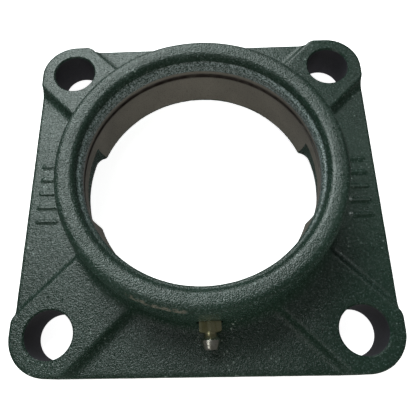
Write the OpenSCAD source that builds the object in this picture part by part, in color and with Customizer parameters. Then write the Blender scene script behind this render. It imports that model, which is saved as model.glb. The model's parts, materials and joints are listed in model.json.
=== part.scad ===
// Four-bolt square flange housing for a spherical-outside insert bearing,
// with its grease nipple. Millimetres, +Z up.
// The origin is where the bore axis meets the mounting face.
// The boss and the straps rise towards +Z.

/* [Flange] */
// Distance between neighbouring bolt holes, the same both ways
bolt_spacing = 102; // [85:0.5:123]
// Diameter of each bolt hole
bolt_d = 16; // [12:0.5:20]
// Radius of each corner lug at the mounting face
lug_r = 14; // [12:0.5:18]
// Thickness of the thin web between the straps
web_h = 10; // [8:0.5:12]
// Height of the lugs and the diagonal straps
pad_h = 15; // [13:0.5:19]
// Draft angle of the flange, lug and strap sides
flange_draft = 4; // [2:0.5:6]
// Rounding of the flange, lug and strap top edges
edge_r = 1.6; // [0.8:0.1:2.4]
// Fillet at the foot of each strap
strap_fillet = 2; // [1:0.25:3]

/* [Seat] */
// Diameter of the spherical seat
seat_d = 80; // [66:0.5:96]
// Height of the seat centre above the mounting face
seat_z = 21; // [17.5:0.5:26]
// Width of the insert's outer ring that the seat is made for
ring_w = 21; // [17.5:0.5:25]
// How far the seat's back edge stays inside the ring's width
seat_back_in = 0.5; // [0:0.1:1.5]
// How far the seat's front edge stays inside the ring's width
seat_front_in = 1.2; // [0.6:0.1:2]
// Radius of the round groove near the front edge of the seat
seat_groove_r = 0.7; // [0.2:0.1:0.9]
// Distance of that groove behind the front edge of the seat
seat_groove_back = 4.5; // [2:0.5:6]

/* [Loading slots] */
// Width of the two slots that let the insert in edgewise
slot_w = 28; // [24:0.5:34]
// Depth of each slot beyond the seat's radius
slot_depth = 1.5; // [1:0.25:3]
// Corner radius of each slot
slot_corner_r = 3; // [1:0.5:5]
// Distance of the closed slot end behind the seat centre
slot_short = 1; // [0:0.5:4]

/* [Boss] */
// Wall of the boss outside the seat, at the web
boss_wall = 8.6; // [8.2:0.1:11]
// Height of the rim in front of the ledge
rim_h = 3.4; // [2.5:0.1:4.6]
// Height of the ledge above the front edge of the seat
ledge_h = 2.3; // [2:0.1:3]
// Width of the ledge round the front of the seat
ledge_w = 2; // [2:0.1:2.4]
// Rounding of the ledge's inner edge
ledge_r = 1.9; // [0.6:0.1:1.9]
// Slope of the rim's inner wall, from the bore axis
rim_slope = 17; // [5:1:22]
// Rounding of the rim's inner edge
rim_edge_r = 1; // [0.3:0.1:1.4]
// Rounding of the boss's outer top edge
crown_r = 3.6; // [1.5:0.1:4]
// Draft angle of the boss's outer wall
boss_draft = 4; // [1:0.5:5]
// Fillet where the boss meets the web and the straps
boss_fillet = 2.6; // [1:0.2:4]

/* [Back recess] */
// Clearance of the recess round the seat, at the mounting face
recess_margin = 7; // [5:0.25:9]
// Slope of the recess wall, from the bore axis
recess_slope = 15; // [5:1:20]
// Corner radius between the recess wall and its floor
recess_corner_r = 3; // [1:0.5:4]

/* [Cast marks] */
// Number of raised bars in each row of marks
mark_count = 5; // [1:1:7]
// Length of each raised bar
mark_l = 6; // [4:0.5:7]
// Width of each raised bar
mark_w = 1.5; // [1:0.1:2]
// Height of each raised bar above the web
mark_h = 0.6; // [0.3:0.1:1]
// Distance between neighbouring bars
mark_pitch = 5; // [3:0.5:6]

/* [Grease nipple] */
// Direction of the nipple round the boss, from +X towards +Y
nipple_turn = 272; // [265:1:275]
// Height of the nipple's axis above the mounting face
nipple_z = 17; // [16.5:0.5:22]
// Depth of the nipple's spot face in the boss, at the nipple's axis
spot_depth = 0.75; // [0.6:0.05:1.2]
// Diameter of the passage from the threaded hole to the seat
passage_d = 3.5; // [2:0.5:5]
// Thread diameter
thread_d = 6; // [5:0.5:8]
// Thread length
thread_l = 5.4; // [4:0.1:6]
// Hexagon size across the flats
hex_af = 7; // [6.5:0.5:9]
// Hexagon height
hex_h = 4; // [3:0.1:5]
// Diameter of the neck between the hexagon and the head
neck_d = 4.4; // [4.2:0.1:5]
// Length of the neck
neck_l = 0.9; // [0.5:0.1:2]
// Greatest diameter of the head
head_d = 6.5; // [6:0.1:7.5]
// Length of the head
head_l = 4.3; // [4:0.1:6]
// Height of the head's widest ring above the neck
head_shoulder = 1.5; // [0.8:0.1:2.2]
// Diameter of the flat end of the head
tip_d = 4; // [3.6:0.1:4.6]
// Bevel round the flat end of the head
tip_bevel = 0.6; // [0.3:0.1:0.8]
// Diameter of the hole in the tip
orifice_d = 1.5; // [1.2:0.1:1.7]
// Length of the hole in the tip
orifice_l = 0.4; // [0.2:0.1:0.8]
// Thickness of the closed-in lower end
lower_end_l = 1; // [0.5:0.1:2]
// Diameter of the check ball
ball_d = 2.4; // [2:0.1:2.6]
// Wire diameter of the check spring
wire_d = 0.3; // [0.2:0.05:0.35]
// Number of turns in the check spring
spring_turns = 7; // [4:1:9]

/* [Clearances] */
// Radial clearance of the nipple's thread in its hole
thread_gap = 0.05; // [0.02:0.01:0.1]
// Radial clearance of the ball and the spring in the nipple's bore
ball_gap = 0.1; // [0.05:0.01:0.15]
// Gap between pieces that rest on each other inside the nipple
rest_gap = 0.02; // [0.01:0.01:0.05]
// Margin of the spot face round the hexagon's corners
spot_margin = 0.25; // [0.1:0.05:0.5]

/* [Hidden] */
$fn = 96;
// How far a cutter runs past the face it opens
past = 1;
// How far a fillet reaches into the solid that carries it
sink = 1;
// How far the foot of each kind of fillet ends below the face it lands on
strap_bite = 0.1;
boss_bite = 0.04;

bolt_at = bolt_spacing / 2;
bolt_reach = bolt_at * sqrt(2);
flange_top = bolt_at + lug_r - web_h * tan(flange_draft) - edge_r;

seat_r = seat_d / 2;
seat_back = seat_z - ring_w / 2 + seat_back_in;
seat_front = seat_z + ring_w / 2 - seat_front_in;
ledge_z = seat_front + ledge_h;
boss_h = ledge_z + rim_h;
boss_r = seat_r + boss_wall;
boss_root_r = boss_r + web_h * tan(boss_draft);
front_r = seat_radius_at(seat_front);
ledge_out_r = front_r + ledge_w;
mouth_r = ledge_out_r + rim_h * tan(rim_slope);

slot_r = seat_r + slot_depth;
slot_top = seat_z - slot_short;

mark_x = (boss_r + bolt_at + lug_r) / 2;

thread_r = thread_d / 2;
spot_face_at = boss_wall_at(nipple_z) - spot_depth;
spot_r = hex_af / sqrt(3) + spot_margin;
passage_reach = spot_face_at - seat_r / 2;
nipple_l = hex_h + neck_l + head_l;
ball_r = ball_d / 2;
chamber_r = ball_r + ball_gap;
orifice_r = orifice_d / 2;
lip_at = nipple_l - orifice_l;
ball_at = lip_at + orifice_r - (ball_r + rest_gap) * sqrt(2);
chamber_floor = lower_end_l - thread_l;
coil_r = chamber_r - ball_gap - wire_d / 2;
coil_low = chamber_floor + wire_d / 2 + rest_gap;
coil_high = ball_at - sqrt(pow(ball_r + wire_d / 2 + rest_gap, 2) - pow(coil_r, 2));

// Radius of the seat's sphere at a height
function seat_radius_at(z) = sqrt(pow(seat_r, 2) - pow(z - seat_z, 2));
// Radius of the boss's outer wall at a height
function boss_wall_at(z) = boss_root_r - z * tan(boss_draft);
// Half the width of a lug or strap at a height
function lug_wall_at(z) = lug_r - z * tan(flange_draft);

// Half section of a drafted block with a rounded top edge
module drafted_half(w, h, draft, r) {
    cx = w - (h - r) * tan(draft) - r / cos(draft);
    cy = h - r;
    polygon([[0, 0], [w, 0], [cx + r * cos(draft), cy + r * sin(draft)], [cx, h], [0, h]]);
    translate([cx, cy])
        circle(r);
}

// Section of the fillet between a drafted wall and a flat top at height z,
// where wall_x is the wall's place at that height. The arc runs into both
// by bite, so that it crosses them at a small angle
module foot_fillet(wall_x, z, draft, r, bite) {
    cx = wall_x - (r - bite) * tan(draft) + (r - bite) / cos(draft);
    cy = z + r - bite;
    difference() {
        translate([wall_x - sink, z - sink])
            square([cx - wall_x + sink, cy - z + sink]);
        translate([cx, cy])
            circle(r);
    }
}

// Places its children at the four bolt holes, turned with +X outwards
module at_bolts() {
    for (turn = [45 : 90 : 315])
        rotate([0, 0, turn])
            translate([bolt_reach, 0, 0])
                children();
}

// The thin square web, as two crossing slabs
module web() {
    for (turn = [0, 90])
        rotate([90, 0, turn])
            linear_extrude(height = bolt_spacing, center = true)
                for (side = [0, 1])
                    mirror([side, 0])
                        drafted_half(bolt_at + lug_r, web_h, flange_draft, edge_r);
}

// One diagonal strap and the lug that ends it, with the lug's axis at the origin
module strap_and_lug() {
    rotate([0, 0, -90])
        rotate_extrude(angle = 180)
            drafted_half(lug_r, pad_h, flange_draft, edge_r);
    rotate([90, 0, -90])
        linear_extrude(height = bolt_reach - seat_r - boss_wall / 2)
            for (side = [0, 1])
                mirror([side, 0]) {
                    drafted_half(lug_r, pad_h, flange_draft, edge_r);
                    foot_fillet(lug_wall_at(web_h), web_h, flange_draft, strap_fillet, strap_bite);
                }
}

// The fillet round the back of each lug, as far as the flange's top face goes
module lug_fillets() {
    intersection() {
        at_bolts()
            for (side = [0, 1])
                mirror([0, side, 0])
                    rotate([0, 0, 45])
                        rotate_extrude(angle = 45)
                            foot_fillet(lug_wall_at(web_h), web_h, flange_draft, strap_fillet, strap_bite);
        translate([-flange_top, -flange_top, 0])
            cube([2 * flange_top, 2 * flange_top, pad_h]);
    }
}

// The round boss, with its fillet on the web
module boss() {
    rotate_extrude() {
        drafted_half(boss_root_r, boss_h, boss_draft, crown_r);
        foot_fillet(boss_wall_at(web_h), web_h, boss_draft, boss_fillet, boss_bite);
    }
}

// The fillet between the boss and the top of each strap
module strap_top_fillets() {
    half_w = lug_wall_at(pad_h) - edge_r;
    intersection() {
        rotate_extrude()
            foot_fillet(boss_wall_at(pad_h), pad_h, boss_draft, boss_fillet, boss_bite);
        for (turn = [45 : 90 : 315])
            rotate([0, 0, turn])
                translate([0, -half_w, 0])
                    cube([bolt_reach, 2 * half_w, boss_h]);
    }
}

// A row of plain raised bars on the web, on each side of the boss
module cast_marks() {
    for (side = [-1, 1])
        for (i = [0 : mark_count - 1])
            translate([side * mark_x, (i - (mark_count - 1) / 2) * mark_pitch, web_h - sink])
                linear_extrude(height = sink + mark_h) {
                    square([mark_l - mark_w, mark_w], center = true);
                    for (end = [-1, 1])
                        translate([end * (mark_l - mark_w) / 2, 0])
                            circle(mark_w / 2);
                }
}

// The space in front of the seat: bore, ledge with its round edge, and sloping rim
module front_opening() {
    rim_out_r = mouth_r + rim_edge_r;
    rotate_extrude() {
        translate([0, seat_z])
            square([front_r, ledge_z - seat_z]);
        difference() {
            translate([0, ledge_z - ledge_r])
                square([front_r + ledge_r, ledge_r]);
            translate([front_r + ledge_r, ledge_z - ledge_r])
                circle(ledge_r);
        }
        polygon([
            [0, ledge_z],
            [ledge_out_r, ledge_z],
            [mouth_r, boss_h],
            [mouth_r, boss_h + past],
            [0, boss_h + past]
        ]);
        difference() {
            translate([0, boss_h - rim_edge_r])
                square([rim_out_r, rim_edge_r + past]);
            translate([rim_out_r, boss_h - rim_edge_r])
                circle(rim_edge_r);
        }
    }
}

// The recess behind the seat
module back_recess() {
    rotate_extrude() {
        drafted_half(seat_r + recess_margin, seat_back, recess_slope, recess_corner_r);
        translate([0, -past])
            square([seat_r + recess_margin, past]);
    }
}

// The two loading slots, as one bar with round corners across the bore
module loading_slots() {
    corner_y = slot_w / 2 - slot_corner_r;
    corner_x = sqrt(pow(slot_r - slot_corner_r, 2) - pow(corner_y, 2));
    reach = 2 * slot_r;
    translate([0, 0, -past])
        linear_extrude(height = slot_top + past) {
            square([2 * corner_x, slot_w], center = true);
            for (x = [-corner_x, corner_x], y = [-corner_y, corner_y])
                translate([x, y])
                    circle(slot_corner_r);
            intersection() {
                circle(slot_r);
                for (side = [-1, 1])
                    polygon([
                        [0, 0],
                        [side * reach, reach * corner_y / corner_x],
                        [side * reach, -reach * corner_y / corner_x]
                    ]);
            }
        }
}

// The groove near the front edge of the seat
module seat_groove() {
    groove_z = seat_front - seat_groove_back;
    rotate_extrude()
        translate([seat_radius_at(groove_z), groove_z])
            circle(seat_groove_r);
}

// Puts its children on the nipple's axis, with +Z pointing out of the boss
// and the origin on the spot face
module at_nipple() {
    rotate([0, 0, nipple_turn])
        translate([spot_face_at, 0, nipple_z])
            rotate([0, 90, 0])
                children();
}

// The grease hole: spot face, threaded hole and passage to the seat
module grease_hole() {
    at_nipple() {
        cylinder(r = spot_r, h = boss_wall);
        translate([0, 0, -thread_l - past])
            cylinder(r = thread_r, h = thread_l + 2 * past);
        translate([0, 0, -passage_reach])
            cylinder(d = passage_d, h = passage_reach - thread_l / 2);
    }
}

// The iron casting, machined on its seat, holes and back face
module flange_housing() {
    color([0.17, 0.25, 0.21])
        difference() {
            union() {
                web();
                at_bolts()
                    strap_and_lug();
                lug_fillets();
                boss();
                strap_top_fillets();
                cast_marks();
            }
            translate([0, 0, seat_z])
                sphere(r = seat_r);
            front_opening();
            back_recess();
            loading_slots();
            seat_groove();
            at_bolts()
                translate([0, 0, -past])
                    cylinder(r = bolt_d / 2, h = pad_h + 2 * past);
            grease_hole();
        }
}

// The nipple's turned body: thread, hexagon, neck and coned head,
// bored through, with a coned ball seat in the tip and a closed-in lower end
module nipple_body() {
    head_at = hex_h + neck_l;
    color([0.72, 0.70, 0.52])
        at_nipple()
            difference() {
                union() {
                    translate([0, 0, -thread_l])
                        cylinder(r = thread_r - thread_gap, h = thread_l + sink);
                    intersection() {
                        cylinder(r = hex_af / sqrt(3), h = hex_h, $fn = 6);
                        cylinder(r1 = hex_af / 2 + hex_h, r2 = hex_af / 2, h = hex_h);
                    }
                    rotate_extrude() {
                        polygon([
                            [0, hex_h - sink],
                            [neck_d / 2, hex_h - sink],
                            [neck_d / 2, head_at],
                            [head_d / 2, head_at + head_shoulder],
                            [(tip_d + tip_bevel) / 2, nipple_l - tip_bevel],
                            [(tip_d - tip_bevel) / 2, nipple_l],
                            [0, nipple_l]
                        ]);
                    }
                }
                rotate_extrude()
                    polygon([
                        [0, -thread_l - past],
                        [orifice_r, -thread_l - past],
                        [orifice_r, chamber_floor],
                        [chamber_r, chamber_floor],
                        [chamber_r, lip_at - (chamber_r - orifice_r)],
                        [orifice_r, lip_at],
                        [orifice_r, nipple_l + past],
                        [0, nipple_l + past]
                    ]);
            }
}

// The steel ball that closes the nipple's tip
module check_ball() {
    color([0.75, 0.76, 0.78])
        at_nipple()
            translate([0, 0, ball_at])
                sphere(r = ball_r);
}

// The coil spring that holds the ball on its seat
module check_spring() {
    steps = 12;
    sides = 6;
    rings = spring_turns * steps;
    rise = (coil_high - coil_low) / rings;
    points = [
        for (i = [0 : rings], j = [0 : sides - 1])
            let (turn = i * 360 / steps, r = coil_r + wire_d / 2 * cos(j * 360 / sides))
                [r * cos(turn), r * sin(turn), coil_low + i * rise + wire_d / 2 * sin(j * 360 / sides)]
    ];
    walls = [
        for (i = [0 : rings - 1], j = [0 : sides - 1], half = [0, 1])
            let (a = i * sides + j, b = i * sides + (j + 1) % sides)
                half == 0 ? [a, b, b + sides] : [a, b + sides, a + sides]
    ];
    start_cap = [for (j = [0 : sides - 1]) sides - 1 - j];
    end_cap = [for (j = [0 : sides - 1]) rings * sides + j];
    color([0.60, 0.61, 0.63])
        at_nipple()
            polyhedron(points = points, faces = concat(walls, [start_cap, end_cap]), convexity = 10);
}

flange_housing();
nipple_body();
check_ball();
check_spring();
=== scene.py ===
"""Square flange bearing housing with a grease nipple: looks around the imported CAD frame."""

import json
import math

import bpy
import numpy as np
from mathutils import Euler, Matrix, Vector, noise


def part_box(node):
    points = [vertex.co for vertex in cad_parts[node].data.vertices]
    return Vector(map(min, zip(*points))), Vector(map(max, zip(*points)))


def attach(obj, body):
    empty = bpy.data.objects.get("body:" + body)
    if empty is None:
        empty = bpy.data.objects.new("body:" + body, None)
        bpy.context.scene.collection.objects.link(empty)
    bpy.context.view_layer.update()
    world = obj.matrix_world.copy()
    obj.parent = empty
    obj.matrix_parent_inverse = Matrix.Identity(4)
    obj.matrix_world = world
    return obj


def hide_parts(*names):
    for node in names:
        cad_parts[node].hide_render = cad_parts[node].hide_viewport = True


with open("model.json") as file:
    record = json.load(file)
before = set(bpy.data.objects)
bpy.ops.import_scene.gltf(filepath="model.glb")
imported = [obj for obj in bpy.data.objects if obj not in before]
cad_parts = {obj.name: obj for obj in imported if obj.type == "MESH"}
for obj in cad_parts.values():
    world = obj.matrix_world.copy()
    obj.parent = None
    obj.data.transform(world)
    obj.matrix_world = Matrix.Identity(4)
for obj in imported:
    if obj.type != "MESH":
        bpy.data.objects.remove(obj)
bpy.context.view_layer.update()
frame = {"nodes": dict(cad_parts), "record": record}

MM = 0.001
TO_METRES = Matrix.Scale(MM, 4)

# ---------------------------------------------------------------- sizes, in millimetres
record_mounts = {m["name"]: m for m in frame["record"]["mounts"]}
housing_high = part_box("flange_housing")[1]
bolt_dims = record_mounts["bolt_holes"]["dims"]

HALF_FLANGE = housing_high.x / MM
BOSS_H = housing_high.z / MM
BOLT_AT = bolt_dims["spacing_x_mm"] / 2
BOLT_R = bolt_dims["hole_r_mm"]
SEAT_Z = record_mounts["insert_seat"]["pos_m"][2] / MM

# flange, with a strap from each bolt lug to the boss
LUG_R = HALF_FLANGE - BOLT_AT
WEB_H = 11.6
PAD_H = 15.0
FLANGE_DRAFT = math.radians(2.5)
EDGE_R = 1.2
STRAP_FILLET = 2.8

# bolt holes, whose upper edge is broken by a cone
BREAK_EDGE = 0.6
BOLT_OVERCUT = 2

# spherical seat, with a groove near its front edge
SEAT_R = 40.0
RING_W = 21.0
SEAT_BACK = SEAT_Z - RING_W / 2 + 0.5
SEAT_FRONT = SEAT_Z + RING_W / 2 - 1.2
SEAT_OVERCUT = 3
GROOVE_R = 0.7
GROOVE_Z = SEAT_FRONT - 4.5
FRONT_R = math.sqrt(SEAT_R**2 - (SEAT_FRONT - SEAT_Z) ** 2)
# the paint runs over the front edge of the seat, down to this height
PAINT_Z = 29.0

# boss
BOSS_R = 48.6
BOSS_DRAFT = math.radians(3)
BOSS_FILLET = 3.0
CROWN_R = 2.5
# inside this radius the top of the boss slopes gently down to the rim's edge
APEX_R = 44.3
TOP_SLOPE = math.radians(10)
APEX_BLEND = 1.2

# mouth of the boss, from the ledge in front of the seat up to the rim
LEDGE_Z = SEAT_FRONT + 2.3
LEDGE_W = 1.4
LEDGE_R = 1.1
RIM_SLOPE = math.radians(6)
RIM_EDGE_R = 1.6
CORNER_FILLET = 0.7

# two slots through which the insert bearing goes in edgewise
SLOT_W = 28.0
SLOT_R = SEAT_R + 1.5
SLOT_CORNER_R = 3.0
SLOT_TOP = SEAT_Z - 1.0
SLOT_EDGE_R = 0.5

# recess in the back
RECESS_R = SEAT_R + 7.0
RECESS_SLOPE = math.radians(15)
RECESS_CORNER_R = 3.0
RECESS_EDGE_R = 0.5

# raised bars on the left and right of the web
MARK_COUNT = 5
MARK_L = 8.0
MARK_W = 1.5
MARK_H = 0.6
MARK_PITCH = 5.5
MARK_X = (BOSS_R + HALF_FLANGE) / 2
MARK_FILLET = 0.4

# mesh of the casting: its grid, and the distance over which a field's slope is measured
GRID = 0.6
GRID_MARGIN = 2.4
PROBE = GRID * 0.1
SETTLE_ROUNDS = 3
TINY = 1e-9
# the cast skin runs this far below the mounting face, where machining takes it off
MACHINING_STOCK = 1.0
FACING_REACH = HALF_FLANGE * 1.5
FACING_DEPTH = MACHINING_STOCK * 4
# size and depth of each layer of the sand-cast grain
GRAIN_LAYERS = ((6.0, 0.045), (1.7, 0.026))

# grease nipple, along its own axis from the spot face
THREAD_R = 3.0
THREAD_GAP = 0.05
THREAD_L = 5.4
THREAD_PITCH = 1.0
THREAD_DEPTH = 0.5 * THREAD_PITCH
# where the flanks of a thread ridge start and end, as shares of the pitch
RIDGE_FOOT, RIDGE_TOP, RIDGE_TOP_END, RIDGE_FOOT_END = 0.1, 0.45, 0.6, 0.95
HEX_AF = 7.0
HEX_H = 4.0
HEX_LOWER_CHAMFER = 0.45
HEX_UPPER_CHAMFER = 0.55
HEX_CORNER_R = HEX_AF / math.sqrt(3)
NECK_R = 2.2
NECK_L = 0.9
NECK_WAIST = 0.15
WAIST_AT = NECK_L * 0.4
HEAD_R = 3.25
HEAD_L = 4.3
SHOULDER_AT = HEAD_L * 0.35
HEAD_EDGE_R = 0.35
TIP_R = 2.0
TIP_EDGE_R = 0.55
ORIFICE_R = 0.744
ORIFICE_CHAMFER = 0.15
UPPER_DIMPLE = 0.4
LOWER_DIMPLE = 0.3
NIPPLE_L = HEX_H + NECK_L + HEAD_L

# spot face, tapped hole and grease passage behind the nipple
SPOT_R = HEX_CORNER_R + 0.25
SPOT_CLEARANCE = 8
TAP_DEPTH = THREAD_L + 0.8
DRILL_DEPTH = THREAD_L + 1.5
PASSAGE_R = 1.75
PASSAGE_DEPTH = 14

# facets round a full turn
SEAT_FACETS = 360
BOLT_FACETS = 128
NIPPLE_FACETS = 96

# edges steeper than this, in degrees, are shaded sharp
HOUSING_SHARP = 38
NIPPLE_SHARP = 32


# ---------------------------------------------------------------- distance fields
def round_union(a, b, r):
    """Union of two distance fields with a round fillet of radius r between them."""
    inner = np.maximum(r, np.minimum(a, b))
    return inner - np.hypot(np.maximum(r - a, 0), np.maximum(r - b, 0))


def round_common(a, b, r):
    """Intersection of two distance fields with its edge rounded to radius r."""
    outer = np.minimum(-r, np.maximum(a, b))
    return outer + np.hypot(np.maximum(r + a, 0), np.maximum(r + b, 0))


def rounded_square(x, y, half, corner):
    """Distance to a square of half width half, its corners rounded to radius corner."""
    qx = np.abs(x) - (half - corner)
    qy = np.abs(y) - (half - corner)
    outside = np.hypot(np.maximum(qx, 0), np.maximum(qy, 0))
    return outside + np.minimum(np.maximum(qx, qy), 0) - corner


def bar_marks(x, y):
    """Distance to the two rows of round-ended bars, seen from above."""
    rows = (MARK_COUNT - 1) / 2
    nearest = np.clip(np.round(y / MARK_PITCH), -rows, rows) * MARK_PITCH
    reach = (MARK_L - MARK_W) / 2
    along = np.maximum(np.abs(np.abs(x) - MARK_X) - reach, 0)
    return np.hypot(along, y - nearest) - MARK_W / 2


def flange(x, y, z):
    """Distance to the drafted flange with its straps and bars, open below."""
    inset = z * math.tan(FLANGE_DRAFT)
    outline = rounded_square(x, y, HALF_FLANGE - inset, LUG_R - inset)
    outline = outline * math.cos(FLANGE_DRAFT)
    across = np.abs(np.abs(x) - np.abs(y)) / math.sqrt(2)
    strap = (across - (LUG_R - inset)) * math.cos(FLANGE_DRAFT)
    strap = round_common(strap, z - PAD_H, EDGE_R)
    mark = round_common(bar_marks(x, y), z - WEB_H - MARK_H, MARK_FILLET)
    top = round_union(z - WEB_H, strap, STRAP_FILLET)
    top = round_union(top, mark, MARK_FILLET)
    return round_common(outline, top, EDGE_R)


def boss(radius, z):
    """Distance to the drafted boss, whose top slopes down inside its apex."""
    wall = (radius - BOSS_R + (z - WEB_H) * math.tan(BOSS_DRAFT)) * math.cos(BOSS_DRAFT)
    inwards = APEX_R - radius
    drop = (inwards + np.hypot(inwards, APEX_BLEND)) / 2 * math.tan(TOP_SLOPE)
    return round_common(wall, (z - BOSS_H + drop) * math.cos(TOP_SLOPE), CROWN_R)


def mouth(radius, z):
    """Distance to the room inside the rim, above the ledge."""
    rim = (radius - FRONT_R - LEDGE_W - (z - LEDGE_Z) * math.tan(RIM_SLOPE)) * math.cos(RIM_SLOPE)
    return round_common(rim, LEDGE_Z - z, CORNER_FILLET)


def recess(radius, z):
    """Distance to the tapering room in the back."""
    wall = (radius - RECESS_R + z * math.tan(RECESS_SLOPE)) * math.cos(RECESS_SLOPE)
    return round_common(wall, z - SEAT_BACK, RECESS_CORNER_R)


def loading_slots(radius, y, z):
    """Distance to the room of the two slots."""
    room = round_common(np.abs(y) - SLOT_W / 2, radius - SLOT_R, SLOT_CORNER_R)
    return np.maximum(room, z - SLOT_TOP)


def casting(x, y, z):
    """Distance to the iron casting before it is machined."""
    radius = np.hypot(x, y)
    body = round_union(flange(x, y, z), boss(radius, z), BOSS_FILLET)
    body = round_common(body, -mouth(radius, z), RIM_EDGE_R)
    body = round_common(body, FRONT_R - radius, LEDGE_R)
    body = round_common(body, -recess(radius, z), RECESS_EDGE_R)
    body = round_common(body, -loading_slots(radius, y, z), SLOT_EDGE_R)
    return np.maximum(body, -MACHINING_STOCK - z)


# ---------------------------------------------------------------- from a field to a mesh
CELL_CORNERS = [(i, j, k) for i in (0, 1) for j in (0, 1) for k in (0, 1)]


def crossed_cells(inside):
    """The grid cells that the surface passes through, and a grid of their numbers."""
    shape = np.array(inside.shape) - 1
    mixed = np.zeros(shape, bool)
    base = inside[:-1, :-1, :-1]
    for i, j, k in CELL_CORNERS:
        mixed |= base != inside[i : i + shape[0], j : j + shape[1], k : k + shape[2]]
    cells = np.argwhere(mixed)
    number = np.full(shape, -1, np.int64)
    number[tuple(cells.T)] = np.arange(len(cells))
    return cells, number


def cell_points(values, cells, step):
    """For each cell, the mean of the places where the surface crosses its edges."""
    total = np.zeros((len(cells), 3))
    count = np.zeros(len(cells))
    for corner in CELL_CORNERS:
        for axis in range(3):
            if corner[axis]:
                continue
            start = cells + np.array(corner)
            end = start.copy()
            end[:, axis] += 1
            a, b = values[tuple(start.T)], values[tuple(end.T)]
            cut = (a < 0) != (b < 0)
            crossing = start[cut].astype(float)
            crossing[:, axis] += a[cut] / (a[cut] - b[cut])
            total[cut] += crossing
            count[cut] += 1
    return step * total / count[:, None]


def edge_quads(inside, number, axis):
    """A quad round each grid edge along axis that the surface crosses, facing outwards."""
    u, v = (axis + 1) % 3, (axis + 2) % 3
    take = [slice(None)] * 3
    take[axis] = slice(0, -1)
    first = inside[tuple(take)]
    take[axis] = slice(1, None)
    second = inside[tuple(take)]
    edges = np.argwhere(first != second)
    keep = (edges[:, u] > 0) & (edges[:, v] > 0)
    keep &= (edges[:, u] < number.shape[u]) & (edges[:, v] < number.shape[v])
    edges = edges[keep]
    ring = []
    for du, dv in ((-1, -1), (0, -1), (0, 0), (-1, 0)):
        cell = edges.copy()
        cell[:, u] += du
        cell[:, v] += dv
        ring.append(number[tuple(cell.T)])
    quads = np.stack(ring, 1)
    flip = ~first[tuple(edges.T)]
    quads[flip] = quads[flip][:, ::-1]
    return quads


def surface_net(field, low, high, step):
    """Quad mesh of the zero surface of field, its points moved onto the surface."""
    axes = [np.arange(a, b + step, step) for a, b in zip(low, high)]
    origin = np.array([a[0] for a in axes])
    values = field(*np.meshgrid(*axes, indexing="ij", sparse=True))
    inside = values < 0
    cells, number = crossed_cells(inside)
    points = origin + cell_points(values, cells, step)
    quads = [edge_quads(inside, number, axis) for axis in range(3)]
    return settle(points, field, step), np.concatenate(quads)


def gradient(points, field):
    """Unit direction in which field grows, at each point."""
    slope = np.zeros_like(points)
    for axis in range(3):
        ahead, behind = points.copy(), points.copy()
        ahead[:, axis] += PROBE
        behind[:, axis] -= PROBE
        slope[:, axis] = field(*ahead.T) - field(*behind.T)
    return slope / np.maximum(np.linalg.norm(slope, axis=1, keepdims=True), TINY)


def settle(points, field, step):
    """Moves points onto the zero surface, by no more than half a step each time."""
    for _ in range(SETTLE_ROUNDS):
        move = np.clip(field(*points.T), -step / 2, step / 2)
        points = points - gradient(points, field) * move[:, None]
    return points


# ---------------------------------------------------------------- mesh helpers
def new_object(name, points, faces, materials):
    """Mesh object in metres, linked to the scene."""
    mesh = bpy.data.meshes.new(name)
    mesh.from_pydata([tuple(p) for p in points], [], [tuple(int(i) for i in f) for f in faces])
    mesh.update()
    made = bpy.data.objects.new(name, mesh)
    bpy.context.scene.collection.objects.link(made)
    for material in materials:
        mesh.materials.append(material)
    return made


def use_slot(target, slot):
    """Gives every face of target the material of one slot."""
    target.data.polygons.foreach_set("material_index", [slot] * len(target.data.polygons))


def paint_above(target, height):
    """Gives the faces of target above a height, in millimetres, the paint."""
    for face in target.data.polygons:
        if face.center.z > height * MM:
            face.material_index = PAINT_SLOT


def lathe(name, profile, place, segments, materials, slot=0):
    """Closed solid turned from profile, a list of (radius, height) from axis to axis."""
    points, faces, rings = [], [], []
    for radius, height in profile:
        if radius == 0:
            rings.append([len(points)])
            points.append(place @ Vector((0, 0, height)))
            continue
        ring = []
        for i in range(segments):
            turn = 2 * math.pi * i / segments
            ring.append(len(points))
            points.append(place @ Vector((radius * math.cos(turn), radius * math.sin(turn), height)))
        rings.append(ring)
    for lower, upper in zip(rings, rings[1:]):
        for i in range(segments):
            j = (i + 1) % segments
            if len(lower) == 1:
                faces.append((lower[0], upper[j], upper[i]))
            elif len(upper) == 1:
                faces.append((lower[i], lower[j], upper[0]))
            else:
                faces.append((lower[i], lower[j], upper[j], upper[i]))
    made = new_object(name, points, faces, materials)
    use_slot(made, slot)
    return made


def arc(centre, radius, start, end, steps):
    """Points of an arc in the (radius, height) plane, angles in degrees."""
    turns = [math.radians(start + (end - start) * i / steps) for i in range(steps + 1)]
    return [(centre[0] + radius * math.cos(t), centre[1] + radius * math.sin(t)) for t in turns]


def apply_boolean(target, cutter, operation):
    """Cuts, joins or keeps what is common, then removes the cutter."""
    change = target.modifiers.new("cut", "BOOLEAN")
    change.operation = operation
    change.solver = "MANIFOLD"
    change.object = cutter
    bpy.context.view_layer.update()
    depsgraph = bpy.context.evaluated_depsgraph_get()
    result = bpy.data.meshes.new_from_object(target.evaluated_get(depsgraph))
    target.modifiers.remove(change)
    old = target.data
    target.data = result
    bpy.data.meshes.remove(old)
    bpy.data.objects.remove(cutter)


def smooth_shading(target, sharp_angle):
    """Smooth faces, with edges steeper than sharp_angle degrees kept sharp."""
    target.data.polygons.foreach_set("use_smooth", [True] * len(target.data.polygons))
    target.data.set_sharp_from_angle(angle=math.radians(sharp_angle))


# ---------------------------------------------------------------- shader helpers
WHITE = (1, 1, 1, 1)


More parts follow.
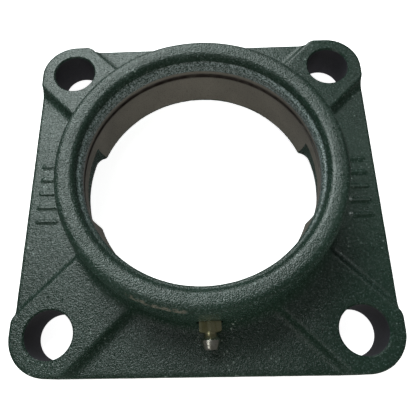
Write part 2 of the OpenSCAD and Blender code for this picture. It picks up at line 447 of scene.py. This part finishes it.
def new_material(name):
    """Material with one principled shader; gives the material, its tree and the shader."""
    material = bpy.data.materials.new(name)
    material.use_nodes = True
    tree = material.node_tree
    tree.nodes.clear()
    output = tree.nodes.new("ShaderNodeOutputMaterial")
    shader = tree.nodes.new("ShaderNodeBsdfPrincipled")
    tree.links.new(shader.outputs["BSDF"], output.inputs["Surface"])
    return material, tree, shader


def set_or_link(tree, socket, value):
    """Gives a socket a number or a colour, or links it to another node's output."""
    if isinstance(value, tuple):
        socket.default_value = (*value, 1)
    elif isinstance(value, float):
        socket.default_value = value
    else:
        tree.links.new(value, socket)


def object_coordinates(tree, stretch=(1, 1, 1)):
    """Place in metres, scaled by stretch along each axis."""
    coords = tree.nodes.new("ShaderNodeTexCoord")
    mapping = tree.nodes.new("ShaderNodeMapping")
    mapping.inputs["Scale"].default_value = stretch
    tree.links.new(coords.outputs["Object"], mapping.inputs["Vector"])
    return mapping.outputs["Vector"]


def split_coordinates(tree, coords):
    """Node with the X, Y and Z of coords as its outputs."""
    split = tree.nodes.new("ShaderNodeSeparateXYZ")
    tree.links.new(coords, split.inputs["Vector"])
    return split


def axis_distance(tree, coords):
    """Distance from the bore's axis."""
    flat = tree.nodes.new("ShaderNodeVectorMath")
    flat.operation = "MULTIPLY"
    flat.inputs[1].default_value = (1, 1, 0)
    tree.links.new(coords, flat.inputs[0])
    length = tree.nodes.new("ShaderNodeVectorMath")
    length.operation = "LENGTH"
    tree.links.new(flat.outputs["Vector"], length.inputs[0])
    return length.outputs["Value"]


def noise_value(tree, vector, size, detail=2.0, rough=0.5):
    """Noise whose features are about size metres across."""
    texture = tree.nodes.new("ShaderNodeTexNoise")
    texture.inputs["Scale"].default_value = 1 / size
    texture.inputs["Detail"].default_value = detail
    texture.inputs["Roughness"].default_value = rough
    tree.links.new(vector, texture.inputs["Vector"])
    return texture.outputs["Fac"]


def ramp(tree, value, stops):
    """Colour ramp from (position, grey or colour) stops."""
    node = tree.nodes.new("ShaderNodeValToRGB")
    elements = node.color_ramp.elements
    while len(elements) < len(stops):
        elements.new(0.5)
    for element, (position, colour) in zip(elements, stops):
        element.position = position
        if isinstance(colour, float):
            colour = (colour, colour, colour)
        element.color = (*colour, 1)
    tree.links.new(value, node.inputs["Fac"])
    return node.outputs["Color"]


def patches(tree, vector, size, stops, detail=2.0, rough=0.5):
    """Noise run through a ramp."""
    return ramp(tree, noise_value(tree, vector, size, detail, rough), stops)


def edge_mask(tree, low, high):
    """White on convex edges, black on flat and hollow places."""
    geometry = tree.nodes.new("ShaderNodeNewGeometry")
    return ramp(tree, geometry.outputs["Pointiness"], [(low, 0.0), (high, 1.0)])


def mix_colour(tree, factor, first, second, blend="MIX"):
    """Colour between first and second, or their product when blend is MULTIPLY."""
    node = tree.nodes.new("ShaderNodeMix")
    node.data_type = "RGBA"
    node.blend_type = blend
    for socket, value in (("Factor", factor), ("A", first), ("B", second)):
        set_or_link(tree, node.inputs[socket], value)
    return node.outputs["Result"]


def math_node(tree, operation, first, second):
    """Result of an operation on two numbers."""
    node = tree.nodes.new("ShaderNodeMath")
    node.operation = operation
    for socket, value in zip(node.inputs, (first, second)):
        set_or_link(tree, socket, value)
    return node.outputs["Value"]


def product(tree, *values):
    """All values multiplied together."""
    result = values[0]
    for value in values[1:]:
        result = math_node(tree, "MULTIPLY", result, value)
    return result


def smooth_step(tree, value, start, end, before, after):
    """Goes smoothly from before to after while value goes from start to end."""
    node = tree.nodes.new("ShaderNodeMapRange")
    node.interpolation_type = "SMOOTHSTEP"
    node.inputs["From Min"].default_value = start
    node.inputs["From Max"].default_value = end
    node.inputs["To Min"].default_value = before
    node.inputs["To Max"].default_value = after
    tree.links.new(value, node.inputs["Value"])
    return node.outputs["Result"]


def between(tree, value, low, high, soft):
    """White where value lies between low and high, with soft ends."""
    rise = smooth_step(tree, value, low - soft, low, 0, 1)
    fall = smooth_step(tree, value, high, high + soft, 1, 0)
    return product(tree, rise, fall)


def add_bump(tree, shader, height, distance, strength, below=None):
    """Bump on the shader, on top of the bump below; gives the bumped normal."""
    node = tree.nodes.new("ShaderNodeBump")
    node.inputs["Distance"].default_value = distance
    set_or_link(tree, node.inputs["Strength"], strength)
    tree.links.new(height, node.inputs["Height"])
    if below is not None:
        tree.links.new(below, node.inputs["Normal"])
    tree.links.new(node.outputs["Normal"], shader.inputs["Normal"])
    return node.outputs["Normal"]


# ---------------------------------------------------------------- paint
PAINT_DARK = (0.008, 0.021, 0.014)
PAINT_LIGHT = (0.013, 0.030, 0.021)
# pale specks in the grain, partly dust and partly painted sheen
PAINT_DUST_AND_SHEEN_SPECK = (0.085, 0.118, 0.112)
PAINT_PORE = (0.006, 0.010, 0.008)
PORE_STRENGTH = 0.6
WORN_EDGE = (0.06, 0.06, 0.05)
# colour of the painted highlight on the ledge round the bore
LEDGE_HIGHLIGHT_COLOUR = (0.27, 0.32, 0.33)
STRAY_SPECK = (0.22, 0.27, 0.25)
SPECK_PITCH = 2.2
SCUFF = (0.11, 0.105, 0.085)
# where the scuff lies: turn about the bore's axis, height, and radius beyond which it starts
SCUFF_START, SCUFF_END, SCUFF_SOFT = (math.radians(turn) for turn in (-117, -97, 2))
SCUFF_LOW, SCUFF_HIGH, SCUFF_FADE = 33.9, 34.9, 0.5
SCUFF_R = 44
# the painted highlight fades out over the near half of the ledge
HIGHLIGHT_LOW_Y, HIGHLIGHT_HIGH_Y, HIGHLIGHT_FADE_Y = 5, 60, 40
# the paint is thick, and its grain flat, on the right of the flange
THICK_LOW_X, THICK_HIGH_X, THICK_FADE_X = 52, 80, 30
ORANGE_PEEL_DEPTH = 0.10
GRAIN_DEPTH = 0.22


def scuffed_shoulder(tree, coords):
    """A scuff on the outer shoulder of the boss, beside the nipple, where the paint is rubbed through."""
    place = split_coordinates(tree, coords)
    turn = math_node(tree, "ARCTAN2", place.outputs["Y"], place.outputs["X"])
    along = between(tree, turn, SCUFF_START, SCUFF_END, SCUFF_SOFT)
    height = between(tree, place.outputs["Z"], SCUFF_LOW * MM, SCUFF_HIGH * MM, SCUFF_FADE * MM)
    outside = math_node(tree, "GREATER_THAN", axis_distance(tree, coords), SCUFF_R * MM)
    rubbed = patches(tree, coords, 1.6 * MM, [(0.42, 0.0), (0.55, 0.85)], detail=3, rough=0.6)
    return product(tree, along, height, outside, rubbed)


def painted_ledge_highlight(tree, coords):
    """Painted highlight: pale specks in the grain of the far side of the ledge round the bore."""
    place = split_coordinates(tree, coords)
    inner = math_node(tree, "LESS_THAN", axis_distance(tree, coords), (FRONT_R + LEDGE_W) * MM)
    high = math_node(tree, "GREATER_THAN", place.outputs["Z"], (PAINT_Z - 1) * MM)
    side = between(tree, place.outputs["Y"], HIGHLIGHT_LOW_Y * MM, HIGHLIGHT_HIGH_Y * MM, HIGHLIGHT_FADE_Y * MM)
    grain = patches(tree, coords, 0.5 * MM, [(0.42, 0.0), (0.66, 0.85)], detail=2, rough=0.6)
    return product(tree, inner, high, side, grain)


def stray_specks(tree, coords):
    """Small pale specks scattered over parts of the paint."""
    cells = tree.nodes.new("ShaderNodeTexVoronoi")
    cells.inputs["Scale"].default_value = 1 / (SPECK_PITCH * MM)
    tree.links.new(coords, cells.inputs["Vector"])
    dots = ramp(tree, cells.outputs["Distance"], [(0.10, 1.0), (0.19, 0.0)])
    zones = patches(tree, coords, 16 * MM, [(0.53, 0.0), (0.66, 0.8)])
    return product(tree, dots, zones)


def paint_colour(tree, coords):
    """The enamel's colour, with its grain specks of dust and painted sheen, pores, worn edges, a painted
    highlight on the ledge, specks and scuff.
    """
    colour = patches(tree, coords, 22 * MM, [(0.35, PAINT_DARK), (0.65, PAINT_LIGHT)], detail=3)
    # pale specks in the grain: partly dust, partly painted sheen
    grain = patches(tree, coords, 0.55 * MM, [(0.56, 0.0), (0.70, 1.0)], detail=3, rough=0.6)
    pores = patches(tree, coords, 0.9 * MM, [(0.28, 1.0), (0.40, 0.0)])
    chips = patches(tree, coords, 2.5 * MM, [(0.62, 0.0), (0.68, 1.0)], detail=4, rough=0.7)
    layers = (
        (grain, PAINT_DUST_AND_SHEEN_SPECK),
        (product(tree, pores, PORE_STRENGTH), PAINT_PORE),
        (product(tree, edge_mask(tree, 0.55, 0.64), chips), WORN_EDGE),
        # painted highlight on the far side of the ledge
        (painted_ledge_highlight(tree, coords), LEDGE_HIGHLIGHT_COLOUR),
        (stray_specks(tree, coords), STRAY_SPECK),
        (scuffed_shoulder(tree, coords), SCUFF),
    )
    for mask, tint in layers:
        colour = mix_colour(tree, mask, colour, tint)
    return colour


def cast_paint():
    """Dark green enamel over a rough sand casting."""
    material, tree, shader = new_material("green_cast_paint")
    coords = object_coordinates(tree)
    tree.links.new(paint_colour(tree, coords), shader.inputs["Base Color"])
    gloss = patches(tree, coords, 1.4 * MM, [(0.3, 0.18), (0.7, 0.34)])
    tree.links.new(gloss, shader.inputs["Roughness"])
    across = split_coordinates(tree, coords).outputs["X"]
    thick = between(tree, across, THICK_LOW_X * MM, THICK_HIGH_X * MM, THICK_FADE_X * MM)
    strength = ramp(tree, thick, [(0.0, 1.0), (1.0, 0.35)])
    orange_peel = noise_value(tree, coords, 1.0 * MM, detail=1)
    bumped = add_bump(tree, shader, orange_peel, ORANGE_PEEL_DEPTH * MM, strength)
    grain = noise_value(tree, coords, 0.42 * MM, detail=1)
    add_bump(tree, shader, grain, GRAIN_DEPTH * MM, strength, bumped)
    return material


# ---------------------------------------------------------------- metals
SEAT_COLOUR = (0.172, 0.158, 0.132)
# the drilled holes get a darker iron than the seat: painted shade inside the holes
HOLE_SHADE_COLOUR = (0.050, 0.049, 0.058)
BACK_COLOUR = (0.26, 0.25, 0.23)
# colour of the painted shade round the groove of the seat
GROOVE_SHADE_COLOUR = (0.022, 0.016, 0.013)
# the painted shade fills the groove of the seat and a band on both sides of it
SHADE_BELOW, SHADE_ABOVE, SHADE_FADE = 0.8, 1.0, 0.9
IRON_METALLIC = 0.4
RING_SPREAD = 0.08
RING_DEPTH = 0.02
PLATE_GRAIN_DEPTH = 0.01
SCRATCH_SPREAD = 0.12
SCRATCH_STRETCH = (1, 0.1, 1)

# each plate's tints from dull to pale, and the colour of its rubbed edges
YELLOW_TINTS = (0.26, 0.25, 0.07), (0.40, 0.39, 0.14), (0.52, 0.51, 0.26)
YELLOW_WORN = (0.60, 0.59, 0.36)
BRIGHT_TINTS = (0.58, 0.57, 0.46), (0.68, 0.67, 0.58), (0.76, 0.76, 0.70)
BRIGHT_WORN = (0.80, 0.80, 0.76)
BALL_COLOUR = (0.72, 0.73, 0.75)
SPRING_COLOUR = (0.50, 0.51, 0.53)


def painted_groove_shade(tree, coords, height):
    """Painted shade, dark and mottled, in and round the groove of the seat."""
    low, high = (GROOVE_Z - SHADE_BELOW) * MM, (GROOVE_Z + SHADE_ABOVE) * MM
    band = between(tree, height, low, high, SHADE_FADE * MM)
    return product(tree, band, patches(tree, coords, 3 * MM, [(0.3, 0.7), (0.6, 1.0)], detail=3))


def turned_iron(name, colour, roughness, ring_size):
    """Bare turned cast iron: fine tool rings round the bore, graphite specks, and painted shade round the
    groove of the seat.
    """
    material, tree, shader = new_material(name)
    coords = object_coordinates(tree)
    height = split_coordinates(tree, coords).outputs["Z"]
    lay = tree.nodes.new("ShaderNodeCombineXYZ")
    tree.links.new(axis_distance(tree, coords), lay.inputs["X"])
    tree.links.new(height, lay.inputs["Z"])
    rings = noise_value(tree, lay.outputs["Vector"], ring_size, detail=3, rough=0.6)
    specks = patches(tree, coords, 0.35 * MM, [(0.33, 0.55), (0.47, 1.0)], detail=3)
    tone = patches(tree, coords, 14 * MM, [(0.3, 0.85), (0.7, 1.12)], detail=3)
    shaded = mix_colour(tree, 1.0, colour, tone, "MULTIPLY")
    shaded = mix_colour(tree, 1.0, shaded, specks, "MULTIPLY")
    # painted shade in and round the groove of the seat
    shaded = mix_colour(tree, painted_groove_shade(tree, coords, height), shaded, GROOVE_SHADE_COLOUR)
    tree.links.new(shaded, shader.inputs["Base Color"])
    gloss = ramp(tree, rings, [(0.3, roughness - RING_SPREAD), (0.7, roughness + RING_SPREAD)])
    tree.links.new(gloss, shader.inputs["Roughness"])
    shader.inputs["Metallic"].default_value = IRON_METALLIC
    add_bump(tree, shader, rings, RING_DEPTH * MM, 0.6)
    return material


def plated(name, tints, worn):
    """Zinc plate in patchy tints, rubbed to the worn colour on its edges."""
    material, tree, shader = new_material(name)
    coords = object_coordinates(tree)
    tint = noise_value(tree, coords, 2.2 * MM, detail=3, rough=0.6)
    plate = ramp(tree, tint, list(zip((0.30, 0.55, 0.75), tints)))
    bright = mix_colour(tree, edge_mask(tree, 0.52, 0.58), plate, worn)
    tree.links.new(bright, shader.inputs["Base Color"])
    tree.links.new(ramp(tree, tint, [(0.3, 0.24), (0.7, 0.34)]), shader.inputs["Roughness"])
    shader.inputs["Metallic"].default_value = 1.0
    grain = noise_value(tree, coords, 0.25 * MM, detail=3)
    add_bump(tree, shader, grain, PLATE_GRAIN_DEPTH * MM, 0.5)
    return material


def bright_steel(name, colour, roughness):
    """Plain steel with fine scratches."""
    material, tree, shader = new_material(name)
    scratch = noise_value(tree, object_coordinates(tree, SCRATCH_STRETCH), 0.08 * MM, detail=3)
    tone = ramp(tree, scratch, [(0.3, 0.85), (0.7, 1.0)])
    tree.links.new(mix_colour(tree, 1.0, colour, tone, "MULTIPLY"), shader.inputs["Base Color"])
    gloss = ramp(tree, scratch, [(0.3, roughness), (0.7, roughness + SCRATCH_SPREAD)])
    tree.links.new(gloss, shader.inputs["Roughness"])
    shader.inputs["Metallic"].default_value = 1.0
    return material


HOUSING_MATERIALS = (
    cast_paint(),
    turned_iron("turned_seat_iron", SEAT_COLOUR, 0.45, ring_size=0.12 * MM),
    # darker iron for the bolt holes: painted shade inside them
    turned_iron("shaded_drilled_hole_iron", HOLE_SHADE_COLOUR, 0.55, ring_size=0.20 * MM),
    turned_iron("faced_back_iron", BACK_COLOUR, 0.42, ring_size=0.30 * MM),
)
PAINT_SLOT, SEAT_SLOT, HOLE_SLOT, BACK_SLOT = range(len(HOUSING_MATERIALS))
NIPPLE_MATERIALS = (
    plated("yellow_zinc", YELLOW_TINTS, YELLOW_WORN),
    plated("bright_zinc", BRIGHT_TINTS, BRIGHT_WORN),
)
HEX_SLOT, HEAD_SLOT = range(len(NIPPLE_MATERIALS))


# ---------------------------------------------------------------- housing
def cast_grain(points):
    """Height of the sand-cast grain at each point, in millimetres, never above zero."""
    height = np.zeros(len(points))
    for size, depth in GRAIN_LAYERS:
        height += depth * np.array([noise.noise(Vector(p) / size) for p in points])
    return height - sum(depth for size, depth in GRAIN_LAYERS)


def make_casting():
    """The casting with its cast skin, before it is machined."""
    low = np.array([-HALF_FLANGE, -HALF_FLANGE, -MACHINING_STOCK]) - GRID_MARGIN
    high = np.array([HALF_FLANGE, HALF_FLANGE, BOSS_H]) + GRID_MARGIN
    points, quads = surface_net(casting, low, high, GRID)
    points = points + gradient(points, casting) * cast_grain(points)[:, None]
    return new_object("housing_casting", points * MM, quads, HOUSING_MATERIALS)


def machine_back(body):
    """Faces off the stock below the mounting face."""
    sides = (-FACING_REACH, FACING_REACH)
    corners = [Vector((x, y, z)) * MM for z in (-FACING_DEPTH, 0) for y in sides for x in sides]
    faces = [(0, 2, 3, 1), (4, 5, 7, 6), (0, 1, 5, 4), (2, 6, 7, 3), (0, 4, 6, 2), (1, 3, 7, 5)]
    cutter = new_object("back_cutter", corners, faces, HOUSING_MATERIALS)
    use_slot(cutter, BACK_SLOT)
    apply_boolean(body, cutter, "DIFFERENCE")


def machine_seat(body):
    """Turns the spherical seat and the groove near its front edge."""
    lower_end = SEAT_BACK - SEAT_OVERCUT
    start_turn, groove_turn, front_turn = (
        math.degrees(math.asin((z - SEAT_Z) / SEAT_R)) for z in (lower_end, GROOVE_Z, SEAT_FRONT)
    )
    groove_half = math.degrees(GROOVE_R / SEAT_R)
    centre = (0, SEAT_Z)
    groove_centre = arc(centre, SEAT_R, groove_turn, groove_turn, 1)[0]
    profile = [(0, lower_end)]
    profile += arc(centre, SEAT_R, start_turn, groove_turn - groove_half, 32)
    profile += arc(groove_centre, GROOVE_R, groove_turn - 80, groove_turn + 80, 8)
    profile += arc(centre, SEAT_R, groove_turn + groove_half, front_turn, 12)
    profile += [(0, SEAT_FRONT)]
    cutter = lathe("seat_cutter", profile, TO_METRES, SEAT_FACETS, HOUSING_MATERIALS, SEAT_SLOT)
    paint_above(cutter, PAINT_Z)
    apply_boolean(body, cutter, "DIFFERENCE")


def machine_bolt_holes(body):
    """Drills the four bolt holes, whose upper edges are broken and painted."""
    break_r = BOLT_R + 2 * BREAK_EDGE
    profile = [
        (0, -BOLT_OVERCUT),
        (BOLT_R, -BOLT_OVERCUT),
        (BOLT_R, PAD_H - BREAK_EDGE),
        (break_r, PAD_H + BREAK_EDGE),
        (break_r, PAD_H + BOLT_OVERCUT),
        (0, PAD_H + BOLT_OVERCUT),
    ]
    for x in (-BOLT_AT, BOLT_AT):
        for y in (-BOLT_AT, BOLT_AT):
            place = TO_METRES @ Matrix.Translation((x, y, 0))
            cutter = lathe("bolt_cutter", profile, place, BOLT_FACETS, HOUSING_MATERIALS, HOLE_SLOT)
            paint_above(cutter, PAD_H - BREAK_EDGE)
            apply_boolean(body, cutter, "DIFFERENCE")


def nipple_place():
    """Frame of the nipple: origin on the spot face, +Z out of the boss, in millimetres."""
    tip = Vector(record_mounts["grease_coupler"]["pos_m"]) / MM
    axis = Vector(record_mounts["grease_coupler"]["axis"]).normalized()
    turn = Vector((0, 0, 1)).rotation_difference(axis).to_matrix().to_4x4()
    return TO_METRES @ Matrix.Translation(tip - axis * NIPPLE_L) @ turn


def machine_grease_hole(body):
    """Cuts the spot face, the tapped hole and the passage to the seat."""
    profile = [
        (0, -PASSAGE_DEPTH),
        (PASSAGE_R, -PASSAGE_DEPTH),
        (PASSAGE_R, -DRILL_DEPTH),
        (THREAD_R, -TAP_DEPTH),
        (THREAD_R, 0),
        (SPOT_R, 0),
        (SPOT_R, SPOT_CLEARANCE),
        (0, SPOT_CLEARANCE),
    ]
    cutter = lathe("grease_cutter", profile, nipple_place(), NIPPLE_FACETS, HOUSING_MATERIALS, PAINT_SLOT)
    apply_boolean(body, cutter, "DIFFERENCE")


def make_housing():
    """The machined casting, in place of the CAD housing."""
    body = make_casting()
    machine_back(body)
    machine_seat(body)
    machine_bolt_holes(body)
    machine_grease_hole(body)
    smooth_shading(body, HOUSING_SHARP)
    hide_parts("flange_housing")
    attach(body, "housing")


# ---------------------------------------------------------------- grease nipple
def thread_profile():
    """Zigzag of ring grooves that stands for the thread, from the lower end up."""
    outer = THREAD_R - THREAD_GAP
    root = outer - THREAD_DEPTH
    ridge = ((root, RIDGE_FOOT), (outer, RIDGE_TOP), (outer, RIDGE_TOP_END), (root, RIDGE_FOOT_END))
    points = []
    for i in range(int(THREAD_L / THREAD_PITCH)):
        start = -THREAD_L + i * THREAD_PITCH
        points += [(radius, start + share * THREAD_PITCH) for radius, share in ridge]
    return points


def nipple_profile():
    """Outline of the turned nipple, with a dimple at each end that shows as its hole."""
    neck_top = HEX_H + NECK_L
    shoulder = neck_top + SHOULDER_AT
    dimple_floor = NIPPLE_L - UPPER_DIMPLE
    lower_floor = -THREAD_L + LOWER_DIMPLE
    profile = [(0, lower_floor), (ORIFICE_R, lower_floor), (ORIFICE_R, -THREAD_L)]
    profile += thread_profile()
    profile += [(NECK_R, 0), (NECK_R, HEX_H)]
    profile += [(NECK_R - NECK_WAIST, HEX_H + WAIST_AT), (NECK_R, neck_top)]
    profile += arc((HEAD_R - HEAD_EDGE_R, shoulder - 0.05), HEAD_EDGE_R, -40, 20, 5)
    profile += arc((TIP_R - 0.25, NIPPLE_L - TIP_EDGE_R), TIP_EDGE_R, 20, 90, 6)
    profile += [(ORIFICE_R + ORIFICE_CHAMFER, NIPPLE_L), (ORIFICE_R, NIPPLE_L - ORIFICE_CHAMFER)]
    return profile + [(ORIFICE_R, dimple_floor), (0, dimple_floor)]


def make_hexagon(place):
    """The wrench hexagon: a chamfered disc, kept where it lies in a six-sided prism."""
    flat_r = HEX_AF / 2
    disc = [
        (0, 0),
        (flat_r, 0),
        (HEX_CORNER_R, HEX_LOWER_CHAMFER),
        (HEX_CORNER_R, HEX_H - HEX_UPPER_CHAMFER),
        (flat_r - 0.1, HEX_H),
        (0, HEX_H),
    ]
    hexagon = lathe("hexagon", disc, place, NIPPLE_FACETS, NIPPLE_MATERIALS)
    prism = [(0, -1), (HEX_CORNER_R, -1), (HEX_CORNER_R, HEX_H + 1), (0, HEX_H + 1)]
    turned = place @ Matrix.Rotation(math.radians(30), 4, "Z")
    apply_boolean(hexagon, lathe("prism", prism, turned, 6, NIPPLE_MATERIALS), "INTERSECT")
    return hexagon


def make_nipple():
    """The grease nipple, in place of the CAD nipple."""
    place = nipple_place()
    nipple = lathe("grease_nipple", nipple_profile(), place, NIPPLE_FACETS, NIPPLE_MATERIALS)
    apply_boolean(nipple, make_hexagon(place), "UNION")
    to_axis = place.inverted()
    for face in nipple.data.polygons:
        above_neck = (to_axis @ face.center).z > HEX_H + NECK_L / 2
        face.material_index = HEAD_SLOT if above_neck else HEX_SLOT
    smooth_shading(nipple, NIPPLE_SHARP)
    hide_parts("nipple_body")
    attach(nipple, "housing")


def finish_inner_pieces():
    """The ball and the spring keep their CAD shape."""
    steels = {
        "check_ball": bright_steel("ball_steel", BALL_COLOUR, 0.12),
        "check_spring": bright_steel("spring_steel", SPRING_COLOUR, 0.30),
    }
    for node, steel in steels.items():
        mesh = frame["nodes"][node].data
        mesh.materials.clear()
        mesh.materials.append(steel)


# ---------------------------------------------------------------- studio, in millimetres and degrees
CAMERA_AT = (2.7, -60.3, 156.9)
CAMERA_TURN = (19.84, 1.80, -0.83)
CAMERA_LENS = 36.81
CAMERA_SENSOR = 36
CAMERA_CLIP = 10
CAMERA_SHIFT = (0.0195, 0.0038)
FLOOR_REACH = 20000
FLOOR_GLOW = 0.92
# the world lights the part dimly, but the camera sees it white
WORLD_LIGHT = 0.08
BACKDROP = 1.0


def make_camera():
    """The camera that the photo was taken with, as fitted to it."""
    data = bpy.data.cameras.new("camera")
    data.sensor_width = CAMERA_SENSOR
    data.lens = CAMERA_LENS
    data.shift_x, data.shift_y = CAMERA_SHIFT
    data.clip_start = CAMERA_CLIP * MM
    camera = bpy.data.objects.new("camera", data)
    camera.location = Vector(CAMERA_AT) * MM
    camera.rotation_euler = Euler([math.radians(a) for a in CAMERA_TURN])
    bpy.context.scene.collection.objects.link(camera)
    bpy.context.scene.camera = camera


def floor_material():
    """Pale, glowing floor that shows as white."""
    material, tree, shader = new_material("pale_floor")
    tone = patches(tree, object_coordinates(tree), 90 * MM, [(0.3, 0.90), (0.7, 0.92)])
    tree.links.new(tone, shader.inputs["Base Color"])
    shader.inputs["Roughness"].default_value = 0.9
    shader.inputs["Emission Color"].default_value = WHITE
    shader.inputs["Emission Strength"].default_value = FLOOR_GLOW
    return material


def make_floor():
    """Wide floor at the mounting face, kept out of the paint's reflections."""
    side = FLOOR_REACH * MM
    corners = [(-side, -side, 0), (side, -side, 0), (side, side, 0), (-side, side, 0)]
    floor = new_object("floor", corners, [(0, 1, 2, 3)], (floor_material(),))
    floor.visible_glossy = False


def make_world():
    """World with one strength for light and another for the camera."""
    world = bpy.data.worlds.new("studio")
    world.use_nodes = True
    tree = world.node_tree
    lighting = tree.nodes["Background"]
    backdrop = tree.nodes.new("ShaderNodeBackground")
    for node, strength in ((lighting, WORLD_LIGHT), (backdrop, BACKDROP)):
        node.inputs["Color"].default_value = WHITE
        node.inputs["Strength"].default_value = strength
    rays = tree.nodes.new("ShaderNodeLightPath")
    chosen = tree.nodes.new("ShaderNodeMixShader")
    tree.links.new(rays.outputs["Is Camera Ray"], chosen.inputs["Fac"])
    tree.links.new(lighting.outputs["Background"], chosen.inputs[1])
    tree.links.new(backdrop.outputs["Background"], chosen.inputs[2])
    tree.links.new(chosen.outputs["Shader"], tree.nodes["World Output"].inputs["Surface"])
    bpy.context.scene.world = world


def make_light(name, at, size, power, colour=(1, 1, 1)):
    """Soft light of a width and height at a place, pointing at the middle of the part."""
    data = bpy.data.lights.new(name, "AREA")
    data.shape = "RECTANGLE"
    data.size, data.size_y = (side * MM for side in size)
    data.energy = power
    data.color = colour
    light = bpy.data.objects.new(name, data)
    light.location = Vector(at) * MM
    aim = Vector((0, 0, SEAT_Z)) - Vector(at)
    light.rotation_euler = aim.to_track_quat("-Z", "Y").to_euler()
    bpy.context.scene.collection.objects.link(light)
    return light


def make_lights():
    """Key, side and low lights behind the part, a warm one in front, and a narrow strip."""
    make_light("key_light", (-250, 470, 640), (570, 570), 7.2, (0.90, 1.0, 0.98))
    make_light("side_light", (420, 380, 560), (300, 300), 0.3, (0.90, 1.0, 0.96))
    make_light("low_light", (-60, 860, 330), (420, 420), 1.6, (0.94, 1.0, 0.98))
    front = make_light("front_light", (60, -860, 300), (600, 600), 3.4, (1.0, 0.98, 0.84))
    front.visible_glossy = False
    make_light("strip_light", (-300, -420, 850), (90, 1200), 1.2)


make_camera()
make_floor()
make_world()
make_lights()
bpy.context.scene.view_settings.view_transform = "Standard"
make_housing()
make_nipple()
finish_inner_pieces()
